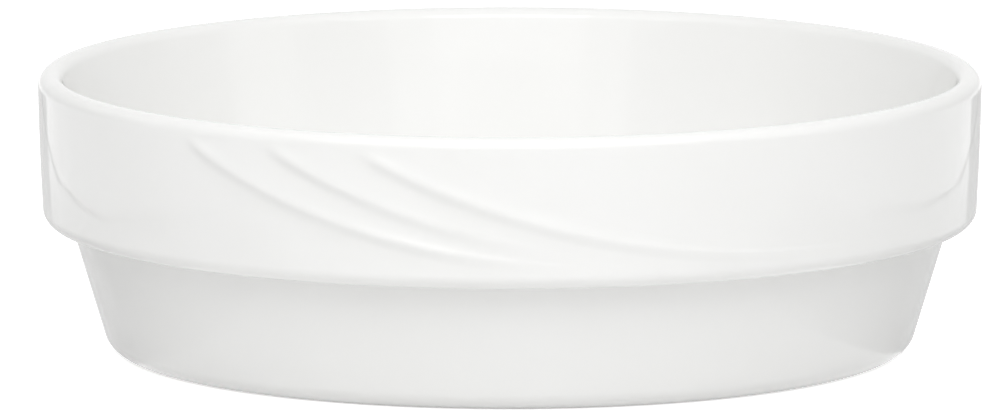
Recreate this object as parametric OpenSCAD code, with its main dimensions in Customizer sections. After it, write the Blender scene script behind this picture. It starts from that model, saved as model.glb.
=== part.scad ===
// A round stacking stew bowl of glazed porcelain, moulded in one piece.
// The foot stands on z = 0 and the axis of the bowl is the Z axis.

/* [Overall] */
// Outer diameter of the rim
rim_d = 180; // [150:1:220]
// Overall height
height = 53.4; // [46:0.2:70]

/* [Wall] */
// Thickness of the wall where it meets the floor
wall_t = 4.6; // [3.6:0.1:5.6]
// Thickness of the rim, which is fully rounded
rim_t = 4.8; // [3.6:0.1:5.6]
// Thickness of the floor
floor_t = 4.6; // [3.6:0.1:6]
// Lean of the wall below the collar, from upright
body_lean = 16.9; // [8:0.1:22]
// Rounding of the outer edge of the base
base_round = 4.6; // [1.5:0.1:5.4]
// Rounding between the inner wall and the floor
floor_round = 14; // [6:0.5:18]

/* [Collar] */
// Height of the collar's lower edge above the table
step_h = 24.7; // [22:0.1:30]
// Width of the step under the collar
step_w = 5.2; // [4:0.1:6.5]
// Rounding of the collar's lower edge
collar_round = 2.8; // [1:0.1:3]
// Rounding in the corner under the step
step_round = 0.8; // [0.3:0.1:1.1]
// How much the collar's radius shrinks from the rim to its lower edge
collar_draft = 1; // [0.2:0.05:2]
// How far the middle of the collar's side swells out past a straight line
collar_swell = 0.2; // [0:0.05:0.5]

/* [Foot] */
// Width of the flat ring that the bowl stands on
foot_w = 3.5; // [2.5:0.1:6]
// Depth of the recess inside the foot ring
recess_h = 1.6; // [0.8:0.1:2.2]
// Lean of the recess's side, from upright
recess_lean = 38; // [10:1:50]
// Rounding at both ends of the recess's side
recess_round = 0.6; // [0.2:0.1:0.7]

/* [Folds on the collar] */
// Groups of folds, spread evenly round the collar
group_count = 2; // [1:1:3]
// Folds in each group
fold_count = 3; // [1:1:3]
// How far a fold's crest stands out from the collar
fold_h = 0.8; // [0.2:0.05:1]
// Angle that a fold sweeps through on its way down
fold_sweep = 65; // [50:1:75]
// Angle between one fold and the next
fold_gap = 12; // [10:0.5:18]
// Angle from the front, where the bowl is viewed, to the lower end of the first fold
fold_end = 22; // [-20:1:40]
// How much higher each fold ends than the one before it
fold_climb = 0.5; // [0:0.1:1]
// Curve of the sweep: the higher, the sooner a fold drops and levels out
fold_curve = 2.4; // [1.8:0.1:3]
// Width of a fold's steep lower edge
fold_edge = 2.6; // [1:0.1:3]
// Length of the shallow run below the steep edge
fold_tail = 2.4; // [1:0.1:4]
// Longest slope above a crest
fold_slope = 9; // [5:0.5:12]
// Distance from the rim down to the upper end of a fold
fold_from_rim = 3.4; // [2.6:0.1:6]
// Distance from the collar's lower edge up to the lower end of a fold
fold_from_edge = 2.7; // [2.2:0.1:6]

/* [Hidden] */

// Fineness
circle_sides = 180;
arc_step = 9;
fold_columns = 30;

// Outer profile
rim_r = rim_d / 2;
rim_mid_r = rim_r - rim_t / 2;
rim_mid_z = height - rim_t / 2;
collar_low_r = rim_r - collar_draft;
collar_mid_r = (rim_r + collar_low_r) / 2 + collar_swell;
collar_mid_z = (step_h + height) / 2;
step_r = collar_low_r - step_w;
base_r = step_r - step_h * tan(body_lean);

// Foot
foot_out_r = base_r - base_round * tan(45 - body_lean / 2);
foot_in_r = foot_out_r - foot_w;
recess_r = foot_in_r - recess_h * tan(recess_lean);

// Inner profile: the wall runs straight from the corner at the floor to the rounding of the rim
floor_z = recess_h + floor_t;
floor_r = base_r + floor_z * tan(body_lean) - wall_t / cos(body_lean);
wall_run = [rim_mid_r - floor_r, rim_mid_z - floor_z];
inner_lean = atan2(wall_run[0], wall_run[1]) - asin(rim_t / 2 / norm(wall_run));

// Folds
fold_high_z = height - fold_from_rim;
fold_low_z = step_h + fold_from_edge;
fold_shift = fold_gap / fold_sweep;
fold_rise = 0.06;
fold_fades = [[0.4, 0.8], [0.2, 0.58], [0.15, 1.05]];
fold_skin = 0.03;
fold_sink = 1;
fold_top_share = 0.25;
fold_top_z = rim_mid_z + rim_t / 2 * fold_top_share;
slope_min = 0.5;
toe_share = 0.15;

// Radius of the collar's side at height z, without its roundings
function side_r(z) = z < collar_mid_z
    ? collar_mid_r - (collar_mid_r - collar_low_r) * (collar_mid_z - z) / (collar_mid_z - step_h)
    : collar_mid_r + (rim_r - collar_mid_r) * (z - collar_mid_z) / (rim_mid_z - collar_mid_z);

// How far a quarter circle of the given radius has fallen back, a distance d past its start
function fall_back(radius, d) = radius - sqrt(max(0, pow(radius, 2) - pow(max(0, d), 2)));

// Radius of the collar at height z, with the roundings at its lower edge and at the rim
function collar_r(z) =
    let (low_z = step_h + collar_round)
    side_r(min(rim_mid_z, max(low_z, z)))
        - fall_back(collar_round, low_z - z)
        - fall_back(rim_t / 2, z - rim_mid_z);

// A point on the arc from one spoke to the other about a centre, a share f along
function arc_point(centre, from, to, turn, f) =
    centre + (from * sin((1 - f) * turn) + to * sin(f * turn)) / sin(turn);

// A corner as the points of its rounding, between the corners before and after it
function rounded(before, at, after, radius) =
    let (
        u = (before - at) / norm(before - at),
        v = (after - at) / norm(after - at),
        turn = 180 - acos(u * v),
        reach = radius * tan(turn / 2),
        centre = at + (u + v) / norm(u + v) * radius / cos(turn / 2),
        steps = max(2, ceil(turn / arc_step))
    )
    [for (k = [0:steps]) arc_point(centre, at + u * reach - centre, at + v * reach - centre, turn, k / steps)];

// An outline from corners of the form [radius from the axis, height, rounding]
function outline(corners) = [
    for (i = [0:len(corners) - 1])
        let (
            here = corners[i],
            before = corners[max(0, i - 1)],
            after = corners[min(len(corners) - 1, i + 1)]
        )
        each here[2] == 0
            ? [[here[0], here[1]]]
            : rounded([before[0], before[1]], [here[0], here[1]], [after[0], after[1]], here[2])
];

// Corners from the middle of the underside out and up to the rim
outer_corners = [
    [0, recess_h, 0],
    [recess_r, recess_h, recess_round],
    [foot_in_r, 0, recess_round],
    [base_r, 0, base_round],
    [step_r, step_h, step_round],
    [collar_low_r, step_h, collar_round],
    [collar_mid_r, collar_mid_z, 0]
];

// A point on the rounding over the rim, at an angle from its outer end
function rim_point(a) = [rim_mid_r + rim_t / 2 * cos(a), rim_mid_z + rim_t / 2 * sin(a)];

// The rounding over the rim, without its inner end, where it runs into the inner wall
rim_turn = 180 - inner_lean;
rim_steps = ceil(rim_turn / arc_step);
rim_arc = [for (k = [0:rim_steps - 1]) rim_point(rim_turn * k / rim_steps)];

// Corners from the rim's inner end down and in to the middle of the floor
inner_corners = [
    [rim_point(rim_turn)[0], rim_point(rim_turn)[1], 0],
    [floor_r, floor_z, floor_round],
    [0, floor_z, 0]
];

// Smooth step from 0 to 1
function ease(x) = let (c = min(1, max(0, x))) c * c * (3 - 2 * c);

// Height of the middle of fold i's steep edge, a share t along its sweep
function fold_z(i, t) =
    let (low_z = fold_low_z + fold_climb * i)
    low_z + (fold_high_z - low_z) * pow(max(0, 1 - t), fold_curve);

// How far fold i's crest stands out, a share t along the sweep: it rises, and fades over its own part
function fold_crest(i, t) =
    let (fade = fold_fades[i])
    fold_h * ease(t / fold_rise) * (1 - ease((t - fade[0]) / (fade[1] - fade[0])));

// Length of the slope above the crest: it ends at the next fold, or under the rim
function slope_length(i, t) =
    let (
        crest_z = fold_z(i, t) + fold_edge / 2,
        next_z = fold_z(i + 1, t - fold_shift) - fold_edge / 2
    )
    max(slope_min, min(fold_slope, next_z - crest_z, fold_top_z - crest_z));

// Section across fold i, as [height, distance out from the collar] from its toe up
function fold_section(i, t) =
    let (
        z = fold_z(i, t),
        crest = fold_crest(i, t),
        reach = slope_length(i, t),
        toe = z - fold_edge / 2,
        tail = max(toe - fold_tail, (toe + step_h) / 2),
        top = z + fold_edge / 2
    )
    [
        [tail, -fold_sink],
        [tail, -fold_skin],
        [toe, crest * toe_share - fold_skin],
        [top, crest - fold_skin],
        [top + reach / 3, crest * pow(2 / 3, 2) - fold_skin],
        [top + reach * 2 / 3, crest * pow(1 / 3, 2) - fold_skin],
        [top + reach, -fold_skin],
        [top + reach, -fold_sink]
    ];

// Fold i of a group: its section swept along its path, with its inner side sunk in the collar
module fold(i) {
    sections = [for (k = [0:fold_columns]) fold_section(i, k / fold_columns)];
    n = len(sections[0]);
    points = [
        for (k = [0:fold_columns])
            let (a = fold_sweep * k / fold_columns)
            for (p = sections[k])
                let (r = collar_r(p[0]) + p[1])
                [r * sin(a), -r * cos(a), p[0]]
    ];
    sides = [
        for (k = [0:fold_columns - 1], j = [0:n - 1])
            let (
                a = k * n + j,
                b = k * n + (j + 1) % n,
                c = (k + 1) * n + (j + 1) % n,
                d = (k + 1) * n + j
            )
            each [[a, b, c], [a, c, d]]
    ];
    first_end = [[for (j = [n - 1:-1:0]) j]];
    last_end = [[for (j = [0:n - 1]) fold_columns * n + j]];
    polyhedron(points, concat(sides, first_end, last_end), convexity = 6);
}

// The folds of every group
module folds() {
    for (group = [0:group_count - 1], i = [0:fold_count - 1])
        rotate([0, 0, 360 / group_count * group + fold_end + fold_gap * i - fold_sweep])
            fold(i);
}

// Body of revolution: foot, wall, collar, rim and inside
module shell() {
    rotate_extrude($fn = circle_sides)
        polygon(concat(outline(outer_corners), rim_arc, outline(inner_corners)));
}

module bowl() {
    color("whitesmoke")
        union() {
            shell();
            folds();
        }
}

bowl();
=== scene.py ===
import math

import bpy
from mathutils import Euler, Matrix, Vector


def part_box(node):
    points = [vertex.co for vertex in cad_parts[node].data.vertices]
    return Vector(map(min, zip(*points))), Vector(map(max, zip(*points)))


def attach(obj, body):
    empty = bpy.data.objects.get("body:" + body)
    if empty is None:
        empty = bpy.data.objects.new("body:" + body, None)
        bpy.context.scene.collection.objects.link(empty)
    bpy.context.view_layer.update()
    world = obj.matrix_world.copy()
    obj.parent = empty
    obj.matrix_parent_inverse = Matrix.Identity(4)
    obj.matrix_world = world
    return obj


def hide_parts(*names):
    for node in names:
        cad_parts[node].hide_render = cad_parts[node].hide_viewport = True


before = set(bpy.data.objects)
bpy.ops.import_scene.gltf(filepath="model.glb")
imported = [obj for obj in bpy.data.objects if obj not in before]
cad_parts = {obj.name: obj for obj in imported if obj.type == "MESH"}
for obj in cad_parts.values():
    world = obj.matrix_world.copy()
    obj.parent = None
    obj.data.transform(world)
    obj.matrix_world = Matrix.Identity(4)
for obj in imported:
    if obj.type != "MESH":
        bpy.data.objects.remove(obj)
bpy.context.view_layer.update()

MM = 0.001

# Overall size, from the frame
low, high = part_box("bowl")
RIM_R = min(high.x, -low.x)
HEIGHT = high.z - low.z

# Wall, with its sizes, like those of the collar, foot and folds, as in the part's source
WALL_T = 4.6 * MM
RIM_T = 4.8 * MM
FLOOR_T = 4.6 * MM
BODY_LEAN = math.radians(16.9)
BASE_ROUND = 4.6 * MM
FLOOR_ROUND = 14 * MM

# Collar
STEP_H = 24.7 * MM
STEP_W = 5.2 * MM
COLLAR_ROUND = 2.8 * MM
STEP_ROUND = 0.8 * MM
COLLAR_DRAFT = 1 * MM
COLLAR_SWELL = 0.2 * MM

# Rounding of the swell, where the source has a faint corner
SWELL_ROUND = 300 * MM

# Foot
FOOT_W = 3.5 * MM
RECESS_H = 1.6 * MM
RECESS_LEAN = math.radians(38)
RECESS_ROUND = 0.6 * MM

# Folds on the collar, with angles in degrees. They are a little lower than in the source, so that
# their crests stay inside the solid's box.
GROUP_COUNT = 2
FOLD_COUNT = 3
FOLD_H = 0.77 * MM
FOLD_SWEEP = 65
FOLD_GAP = 12
FOLD_END = 22
FOLD_CLIMB = 0.5 * MM
FOLD_CURVE = 2.4
FOLD_EDGE = 2.6 * MM
FOLD_TAIL = 2.4 * MM
FOLD_SLOPE = 9 * MM
FOLD_FROM_RIM = 3.4 * MM
FOLD_FROM_EDGE = 2.7 * MM
TOE_SHARE = 0.15
SLOPE_MIN = 0.5 * MM

# Shares of the sweep over which a fold rises, and over which each fold of a group fades
FOLD_RISE = 0.06
FOLD_FADES = ((0.4, 0.8), (0.2, 0.58), (0.15, 1.05))

# The slope above a crest runs up at most this share of the height of the rim's rounding
FOLD_TOP_SHARE = 0.25

# Glaze: its gloss, the tones and size of its thinner and thicker patches, and its waves
GLAZE_ROUGHNESS = 0.07
GLAZE_IOR = 1.5
GLAZE_THIN = "#EEEEEC"
GLAZE_THICK = "#F1F1F0"
GLAZE_CLOUD = 35 * MM
GLAZE_WAVE = 14 * MM
GLAZE_WAVE_H = 0.02 * MM

# Bare standing ring, and its grain, drawn coarser than the real 0.05 mm so that it shows
BARE_H = 0.15 * MM
GLAZE_EDGE_H = 0.25 * MM
BODY_ROUGHNESS = 0.65
BODY_COLOUR = "#E8E5DE"
BODY_GRAIN = 0.3 * MM
BODY_GRAIN_H = 0.02 * MM

# Fineness of the mesh: columns round the axis, the parts of a turn of which one is spun and then
# copied, the turn from point to point of a rounding, and the longest edges on the collar and elsewhere
COLUMNS = 480
SPUN_PARTS = 8
ARC_STEP = math.radians(8)
COLLAR_ROW = 0.42 * MM
OTHER_ROW = 14 * MM

# Points closer than this are the same
SAME = 0.002 * MM

# Outline of the bowl, worked out from the sizes above
RIM_MID_Z = HEIGHT - RIM_T / 2
COLLAR_LOW_R = RIM_R - COLLAR_DRAFT
STEP_R = COLLAR_LOW_R - STEP_W
BASE_R = STEP_R - STEP_H * math.tan(BODY_LEAN)
FLOOR_Z = RECESS_H + FLOOR_T
FLOOR_R = BASE_R + FLOOR_Z * math.tan(BODY_LEAN) - WALL_T / math.cos(BODY_LEAN)
WALL_RUN = (RIM_R - RIM_T / 2 - FLOOR_R, RIM_MID_Z - FLOOR_Z)
INNER_LEAN = math.atan2(*WALL_RUN) - math.asin(RIM_T / 2 / math.hypot(*WALL_RUN))
FOLD_HIGH_Z = HEIGHT - FOLD_FROM_RIM
FOLD_LOW_Z = STEP_H + FOLD_FROM_EDGE
FOLD_TOP_Z = RIM_MID_Z + RIM_T / 2 * FOLD_TOP_SHARE

# Soft boxes: place and size in metres, and power in watts
SOFT_BOXES = {
    "top": ((0, -0.3, 1.3), (2.2, 1.6), 4.8),
    "near_front": ((0, -0.5, 0.6), (1.2, 0.4), 1.5),
    "front_high": ((0, -1.4, 1.4), (1.2, 0.8), 6.5),
    "front_mid": ((0, -1.8, 1.15), (2.6, 0.7), 3.3),
    "front_low": ((0, -2.2, 0.8), (1.6, 0.8), 1.9),
    "left": ((-1.9, -0.6, 1.0), (0.8, 1.2), 0.5),
    "right": ((1.9, -0.6, 1.0), (0.8, 1.2), 1.7),
}

# Strength of the soft light from all round, and of the white that the camera and reflections see
FILL = 0.48
WHITE = 1.0

# Table top: its width in metres, its colour, its own glow for the camera and reflections, and how far
# it lies under the foot, so that the two faces don't coincide
TABLE_WIDTH = 8
TABLE_COLOUR = "#ECECEC"
TABLE_GLOW = 0.7
TABLE_GAP = 0.05 * MM

# Painted shade in the glaze's reflections: grey cards lying on the table beside and behind the bowl,
# seen only in its glaze, which paint the bowl's shadow on the table and the dark lines of the table's
# edges into its reflections. In millimetres and degrees. Each has a starting point, the angle it is
# turned by, its two sides and its near and far ends from that point, the strength of its grey, and
# whether the grey fades to white.
PAINTED_SHADE_CARDS = {
    "left_painted_shade_card": ((-220, -44), -6.4, (2, 146), (-90, 600), 0.7, True),
    "right_painted_shade_card": ((218, 44), 9.5, (-150, -2), (-170, 600), 0.7, True),
    "right_near_painted_shade_card": ((76, -130), 0, (0, 60), (0, 150), 0.7, True),
    "left_far_painted_shade_card": ((-88, -20), 23, (0, 130), (0, 460), 0.8, False),
    "right_far_painted_shade_card": ((88, -20), -25, (-130, 0), (0, 460), 0.75, False),
    "left_table_edge_painted_reflection": ((-220, -44), -6.4, (-2, 2), (-60, 600), 0.4, False),
    "right_table_edge_painted_reflection": ((218, 44), 9.5, (-2, 2), (-80, 600), 0.4, False),
}

# Height of the lowest card above the foot, and of each next card above the one before it
CARD_LIFT = 0.3 * MM
CARD_STEP = 0.1 * MM

# A fading card is white in front and far aside, and reaches its grey, the painted shade of the bowl's
# shadow on the table, at the bowl's front and sides
CARD_WHITE = 1.3
CARD_WHITE_Y = -75 * MM
CARD_GREY_Y = 0
CARD_WHITE_X = 200 * MM
CARD_GREY_X = 95 * MM

# The photograph's view: a long lens in millimetres, far off in metres, and the point it aims at
CAMERA_TILT = math.radians(8.59)
CAMERA_DISTANCE = 3.447
CAMERA_REACH = 50
CAMERA_LENS = 650
CAMERA_SIDE = -1.87 * MM
AIM_Z = 27.3 * MM


def select_only(item):
    """Leaves one object selected and active."""
    bpy.ops.object.select_all(action="DESELECT")
    item.select_set(True)
    bpy.context.view_layer.objects.active = item


def half_section():
    """The corners of the bowl's half section, as (radius from the axis, height, rounding)."""
    collar_mid_r = (RIM_R + COLLAR_LOW_R) / 2 + COLLAR_SWELL
    foot_in_r = BASE_R - BASE_ROUND * math.tan(math.pi / 4 - BODY_LEAN / 2) - FOOT_W
    return [
        (0, RECESS_H, 0),
        (foot_in_r - RECESS_H * math.tan(RECESS_LEAN), RECESS_H, RECESS_ROUND),
        (foot_in_r, 0, RECESS_ROUND),
        (BASE_R, 0, BASE_ROUND),
        (STEP_R, STEP_H, STEP_ROUND),
        (COLLAR_LOW_R, STEP_H, COLLAR_ROUND),
        (collar_mid_r, (STEP_H + HEIGHT) / 2, SWELL_ROUND),
        (RIM_R, RIM_MID_Z, 0),
        (RIM_R, HEIGHT, RIM_T / 2),
        (FLOOR_R + (HEIGHT - FLOOR_Z) * math.tan(INNER_LEAN), HEIGHT, RIM_T / 2),
        (FLOOR_R, FLOOR_Z, FLOOR_ROUND),
        (0, FLOOR_Z, 0),
    ]


def draw_section(corners):
    """A wire through the corners, drawn by extruding one vertex from corner to corner."""
    bpy.ops.object.select_all(action="DESELECT")
    bpy.ops.mesh.primitive_plane_add(size=MM)
    section = bpy.context.object
    bpy.ops.object.mode_set(mode="EDIT")
    bpy.ops.mesh.merge(type="CENTER")
    bpy.ops.transform.translate(value=(corners[0][0], 0, corners[0][1]))
    last = Vector((corners[0][0], 0, corners[0][1]))
    for radius, height, _ in corners[1:]:
        here = Vector((radius, 0, height))
        bpy.ops.mesh.extrude_vertices_move(TRANSFORM_OT_translate={"value": here - last})
        last = here
    bpy.ops.object.mode_set(mode="OBJECT")
    return section


def round_corner(section, before, at, after, radius):
    """Bevels the section's vertex at one corner to the given radius."""
    here = Vector((at[0], 0, at[1]))
    back = Vector((before[0], 0, before[1])) - here
    ahead = Vector((after[0], 0, after[1])) - here
    turn = math.pi - back.angle(ahead)
    bpy.ops.object.mode_set(mode="EDIT")
    bpy.ops.mesh.select_all(action="DESELECT")
    bpy.ops.object.mode_set(mode="OBJECT")
    for vertex in section.data.vertices:
        vertex.select = (vertex.co - here).length < SAME
    bpy.ops.object.mode_set(mode="EDIT")
    bpy.ops.mesh.bevel(
        affect="VERTICES",
        offset=radius * math.tan(turn / 2),
        segments=max(3, math.ceil(turn / ARC_STEP)),
        profile=0.5,
    )
    bpy.ops.object.mode_set(mode="OBJECT")


def on_collar(point):
    """Whether a point of the section is on the collar's outer side."""
    return point.x > STEP_R and point.z > STEP_H + COLLAR_ROUND / 2 and point.x > RIM_R - RIM_T / 2


def split_long_edges(section):
    """Subdivides the section's edges until none is too long for its place."""
    bpy.ops.object.mode_set(mode="EDIT")
    bpy.ops.mesh.select_mode(type="EDGE")
    while True:
        bpy.ops.mesh.select_all(action="DESELECT")
        bpy.ops.object.mode_set(mode="OBJECT")
        mesh = section.data
        found = False
        for edge in mesh.edges:
            start, end = (mesh.vertices[i].co for i in edge.vertices)
            limit = COLLAR_ROW if on_collar((start + end) / 2) else OTHER_ROW
            edge.select = (end - start).length > limit
            found = found or edge.select
        bpy.ops.object.mode_set(mode="EDIT")
        if not found:
            break
        bpy.ops.mesh.subdivide(number_cuts=1)
    bpy.ops.mesh.select_mode(type="VERT")
    bpy.ops.object.mode_set(mode="OBJECT")


def ease(x):
    """Smooth step from 0 to 1."""
    x = min(1, max(0, x))
    return x * x * (3 - 2 * x)


def fold_z(i, t):
    """Height of the middle of fold i's steep edge, a share t along its sweep."""
    low_z = FOLD_LOW_Z + FOLD_CLIMB * i
    return low_z + (FOLD_HIGH_Z - low_z) * max(0, 1 - t) ** FOLD_CURVE


def fold_share(i, t, z):
    """How high the surface stands at height z on fold i, as a share of the highest crest."""
    fade_from, fade_to = FOLD_FADES[i]
    crest = ease(t / FOLD_RISE) * (1 - ease((t - fade_from) / (fade_to - fade_from)))
    toe_z = fold_z(i, t) - FOLD_EDGE / 2
    crest_z = toe_z + FOLD_EDGE
    next_z = fold_z(i + 1, t - FOLD_GAP / FOLD_SWEEP) - FOLD_EDGE / 2
    slope = max(SLOPE_MIN, min(FOLD_SLOPE, next_z - crest_z, FOLD_TOP_Z - crest_z))
    tail = min(FOLD_TAIL, (toe_z - STEP_H) / 2)
    if z < toe_z:
        return crest * TOE_SHARE * max(0, 1 - (toe_z - z) / tail) ** 2
    if z < crest_z:
        return crest * (TOE_SHARE + (1 - TOE_SHARE) * ease((z - toe_z) / FOLD_EDGE))
    return crest * max(0, 1 - (z - crest_z) / slope) ** 2


def relief_share(point):
    """The folds' height at a point of the collar, as a share of the highest crest."""
    angle = math.degrees(math.atan2(point.x, -point.y))
    total = 0
    for group in range(GROUP_COUNT):
        for i in range(FOLD_COUNT):
            start = 360 / GROUP_COUNT * group + FOLD_END + FOLD_GAP * i - FOLD_SWEEP
            t = (angle - start) % 360 / FOLD_SWEEP
            if t < 1:
                total += fold_share(i, t, point.z)
    return total


def raise_folds(bowl):
    """Weights the collar by the folds' height, and pushes it out along its normals by that weight."""
    group = bowl.vertex_groups.new(name="folds")
    for vertex in bowl.data.vertices:
        radius = math.hypot(vertex.co.x, vertex.co.y)
        if on_collar(Vector((radius, 0, vertex.co.z))):
            share = relief_share(vertex.co)
            if share > 0:
                group.add([vertex.index], share, "REPLACE")
    push = bowl.modifiers.new("folds", "DISPLACE")
    push.direction = "NORMAL"
    push.strength = FOLD_H
    push.mid_level = 0
    push.vertex_group = "folds"
    select_only(bowl)
    bpy.ops.object.modifier_apply(modifier="folds")
    bowl.vertex_groups.clear()


def make_bowl():
    """The bowl, spun from its half section, with the folds raised on its collar."""
    corners = half_section()
    bowl = draw_section(corners)
    for before, at, after in zip(corners, corners[1:], corners[2:]):
        if at[2] > 0:
            round_corner(bowl, before, at, after, at[2])
    split_long_edges(bowl)
    bpy.ops.object.mode_set(mode="EDIT")
    bpy.ops.mesh.select_all(action="SELECT")
    bpy.ops.mesh.remove_doubles(threshold=SAME)
    turn = 2 * math.pi / SPUN_PARTS
    bpy.ops.mesh.spin(steps=COLUMNS // SPUN_PARTS, angle=turn, center=(0, 0, 0), axis=(0, 0, 1))
    while turn < 2 * math.pi:
        bpy.ops.mesh.select_all(action="SELECT")
        bpy.ops.mesh.duplicate()
        bpy.ops.transform.rotate(value=turn, orient_axis="Z", center_override=(0, 0, 0))
        turn *= 2
    bpy.ops.mesh.select_all(action="SELECT")
    bpy.ops.mesh.remove_doubles(threshold=SAME)
    bpy.ops.mesh.normals_make_consistent(inside=False)
    bpy.ops.object.mode_set(mode="OBJECT")
    bowl.name = "glazed_bowl"
    raise_folds(bowl)
    bpy.ops.object.shade_smooth()
    return bowl


def linear(hex_colour):
    """An sRGB hex colour as linear RGBA."""
    parts = [int(hex_colour[i : i + 2], 16) / 255 for i in (1, 3, 5)]
    return tuple(p / 12.92 if p <= 0.04045 else ((p + 0.055) / 1.055) ** 2.4 for p in parts) + (1,)


def add_node(tree, kind, inputs=None, **settings):
    """Adds a node with its settings, and sets or links its inputs."""
    node = tree.nodes.new(kind)
    for name, value in settings.items():
        setattr(node, name, value)
    for socket, value in (inputs or {}).items():
        if isinstance(value, bpy.types.NodeSocket):
            tree.links.new(value, node.inputs[socket])
        else:
            node.inputs[socket].default_value = value
    return node


def new_material(name):
    """An empty node material and its tree."""
    material = bpy.data.materials.new(name)
    material.use_nodes = True
    material.node_tree.nodes.clear()
    return material, material.node_tree


def glazed_porcelain():
    """
    Hard porcelain, moulded and fired under a clear feldspar glaze: bright white, smooth and glossy,
    with a faint waviness and a slight unevenness of tone. The ring that it stood on in the kiln is
    wiped free of glaze, and shows the matt, fine-grained body.
    """
    material, tree = new_material("glazed_porcelain")
    place = add_node(tree, "ShaderNodeTexCoord").outputs["Object"]

    # Share of bare body: all of the standing ring, none above the edge of the glaze
    level = add_node(tree, "ShaderNodeSeparateXYZ", {"Vector": place}).outputs["Z"]
    bare = add_node(
        tree,
        "ShaderNodeMapRange",
        {"Value": level, "From Min": BARE_H, "From Max": GLAZE_EDGE_H, "To Min": 1.0, "To Max": 0.0},
    ).outputs["Result"]

    # Tone of the glaze, a little thicker here and thinner there
    clouds = add_node(
        tree,
        "ShaderNodeTexNoise",
        {"Vector": place, "Scale": 1 / GLAZE_CLOUD, "Detail": 2.0, "Roughness": 0.5},
    ).outputs["Fac"]
    glaze_colour = add_node(
        tree,
        "ShaderNodeMix",
        {0: clouds, 6: linear(GLAZE_THIN), 7: linear(GLAZE_THICK)},
        data_type="RGBA",
    ).outputs[2]
    colour = add_node(
        tree, "ShaderNodeMix", {0: bare, 6: glaze_colour, 7: linear(BODY_COLOUR)}, data_type="RGBA"
    ).outputs[2]
    roughness = add_node(
        tree,
        "ShaderNodeMapRange",
        {"Value": bare, "To Min": GLAZE_ROUGHNESS, "To Max": BODY_ROUGHNESS},
    ).outputs["Result"]

    # Waviness of the glaze, and the grain of the bare body
    waves = add_node(
        tree,
        "ShaderNodeTexNoise",
        {"Vector": place, "Scale": 1 / GLAZE_WAVE, "Detail": 1.0, "Roughness": 0.4},
    ).outputs["Fac"]
    grain = add_node(
        tree,
        "ShaderNodeTexNoise",
        {"Vector": place, "Scale": 1 / BODY_GRAIN, "Detail": 2.0, "Roughness": 0.6},
    ).outputs["Fac"]
    bare_grain = add_node(
        tree, "ShaderNodeMath", {0: grain, 1: bare}, operation="MULTIPLY"
    ).outputs[0]
    wavy = add_node(
        tree, "ShaderNodeBump", {"Height": waves, "Strength": 1.0, "Distance": GLAZE_WAVE_H}
    ).outputs["Normal"]
    grainy = add_node(
        tree,
        "ShaderNodeBump",
        {"Height": bare_grain, "Strength": 1.0, "Distance": BODY_GRAIN_H, "Normal": wavy},
    ).outputs["Normal"]

    shader = add_node(
        tree,
        "ShaderNodeBsdfPrincipled",
        {"Base Color": colour, "Roughness": roughness, "IOR": GLAZE_IOR, "Normal": grainy},
    )
    add_node(tree, "ShaderNodeOutputMaterial", {"Surface": shader.outputs["BSDF"]})
    return material


def shows_background(tree):
    """1 for camera, glossy and transmission rays, which see the plain white background."""
    path = add_node(tree, "ShaderNodeLightPath")
    seen = add_node(
        tree,
        "ShaderNodeMath",
        {0: path.outputs["Is Camera Ray"], 1: path.outputs["Is Glossy Ray"]},
        operation="MAXIMUM",
    )
    return add_node(
        tree,
        "ShaderNodeMath",
        {0: seen.outputs[0], 1: path.outputs["Is Transmission Ray"]},
        operation="MAXIMUM",
    ).outputs[0]


def make_floor():
    """A wide white table top that keeps the bowl's soft shadow."""
    bpy.ops.object.select_all(action="DESELECT")
    bpy.ops.mesh.primitive_plane_add(size=TABLE_WIDTH, location=(0, 0, -TABLE_GAP))
    floor = bpy.context.object
    floor.name = "table_top"
    material, tree = new_material("white_table")
    matt = add_node(tree, "ShaderNodeBsdfDiffuse", {"Color": linear(TABLE_COLOUR)})
    lift = add_node(
        tree, "ShaderNodeMath", {0: shows_background(tree), 1: TABLE_GLOW}, operation="MULTIPLY"
    )
    glow = add_node(tree, "ShaderNodeEmission", {"Strength": lift.outputs[0]})
    both = add_node(tree, "ShaderNodeAddShader", {0: matt.outputs[0], 1: glow.outputs[0]})
    add_node(tree, "ShaderNodeOutputMaterial", {"Surface": both.outputs[0]})
    floor.data.materials.append(material)


def faded_painted_shade(tree, grey):
    """A strength that goes softly from white to the grey of the painted shade, on its way to the bowl.
    """
    place = add_node(tree, "ShaderNodeTexCoord").outputs["Object"]
    where = add_node(tree, "ShaderNodeSeparateXYZ", {"Vector": place})
    aside = add_node(
        tree, "ShaderNodeMath", {0: where.outputs["X"]}, operation="ABSOLUTE"
    ).outputs[0]
    from_side = add_node(
        tree,
        "ShaderNodeMapRange",
        {"Value": aside, "From Min": CARD_GREY_X, "From Max": CARD_WHITE_X},
        interpolation_type="SMOOTHSTEP",
    ).outputs["Result"]
    from_front = add_node(
        tree,
        "ShaderNodeMapRange",
        {"Value": where.outputs["Y"], "From Min": CARD_GREY_Y, "From Max": CARD_WHITE_Y},
        interpolation_type="SMOOTHSTEP",
    ).outputs["Result"]
    white = add_node(
        tree, "ShaderNodeMath", {0: from_side, 1: from_front}, operation="MAXIMUM"
    ).outputs[0]
    return add_node(
        tree, "ShaderNodeMapRange", {"Value": white, "To Min": grey, "To Max": CARD_WHITE}
    ).outputs["Result"]


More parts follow.
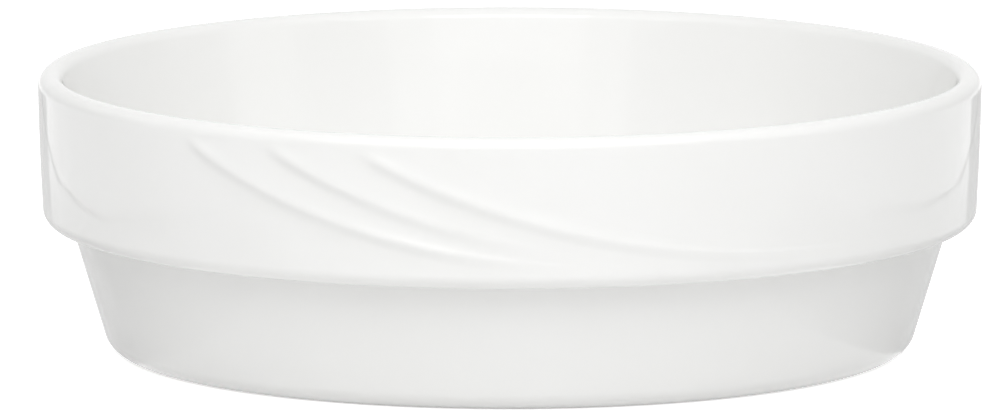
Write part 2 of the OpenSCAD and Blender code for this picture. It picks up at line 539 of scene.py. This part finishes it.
def lay_painted_shade_card(order, name, start, angle, sides, ends, grey, fades):
    """A card on the table, given in millimetres and degrees, that only reflections see, and whose grey
    paints shade into the glaze's reflections.
    """
    bpy.ops.object.select_all(action="DESELECT")
    turn = math.radians(angle)
    middle = Vector((sum(sides) / 2, sum(ends) / 2, 0))
    middle.rotate(Euler((0, 0, turn)))
    centre = (Vector((*start, 0)) + middle) * MM + Vector((0, 0, CARD_LIFT + CARD_STEP * order))
    bpy.ops.mesh.primitive_plane_add(size=1, location=centre, rotation=(0, 0, turn))
    card = bpy.context.object
    card.name = name
    card.scale = ((sides[1] - sides[0]) * MM, (ends[1] - ends[0]) * MM, 1)
    bpy.ops.object.transform_apply()
    card.visible_camera = False
    card.visible_diffuse = False
    card.visible_transmission = False
    card.visible_shadow = False
    material, tree = new_material(name)
    # The card's grey glow is painted shade and painted dark edges, seen only in the glaze's reflections
    strength = faded_painted_shade(tree, grey) if fades else grey
    tone = add_node(tree, "ShaderNodeEmission", {"Strength": strength})
    add_node(tree, "ShaderNodeOutputMaterial", {"Surface": tone.outputs[0]})
    card.data.materials.append(material)


def make_world():
    """White for the rays that see the background, and a soft grey light on everything else."""
    world = bpy.data.worlds.new("studio")
    bpy.context.scene.world = world
    world.use_nodes = True
    tree = world.node_tree
    tree.nodes.clear()
    seen = shows_background(tree)
    strength = add_node(
        tree, "ShaderNodeMapRange", {"Value": seen, "To Min": FILL, "To Max": WHITE}
    )
    sky = add_node(
        tree,
        "ShaderNodeBackground",
        {"Color": linear("#FFFFFF"), "Strength": strength.outputs["Result"]},
    )
    add_node(tree, "ShaderNodeOutputWorld", {"Surface": sky.outputs[0]})


def add_lamp(name, place, size, power):
    """A rectangular area lamp that faces the bowl."""
    bpy.ops.object.select_all(action="DESELECT")
    bpy.ops.object.light_add(type="AREA", location=place)
    lamp = bpy.context.object
    lamp.name = name
    lamp.data.shape = "RECTANGLE"
    lamp.data.size, lamp.data.size_y = size
    lamp.data.energy = power
    facing = Vector((0, 0, AIM_Z)) - lamp.location
    lamp.rotation_euler = facing.to_track_quat("-Z", "Y").to_euler()


def make_camera():
    """The camera, far off with a long lens, at the photograph's angle."""
    back = Vector((0, -math.cos(CAMERA_TILT), math.sin(CAMERA_TILT)))
    place = Vector((CAMERA_SIDE, 0, AIM_Z)) + back * CAMERA_DISTANCE
    bpy.ops.object.camera_add(location=place, rotation=(math.pi / 2 - CAMERA_TILT, 0, 0))
    camera = bpy.context.object
    camera.data.lens = CAMERA_LENS
    camera.data.clip_end = CAMERA_REACH
    bpy.context.scene.camera = camera


bowl = make_bowl()
bowl.data.materials.append(glazed_porcelain())
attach(bowl, "root")
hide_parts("bowl")

make_floor()
# Grey cards that paint shade into the glaze's reflections
for order, (name, card) in enumerate(PAINTED_SHADE_CARDS.items()):
    lay_painted_shade_card(order, name, *card)
make_world()
for name, (place, size, power) in SOFT_BOXES.items():
    add_lamp(name, place, size, power)
make_camera()
bpy.context.scene.view_settings.view_transform = "Standard"
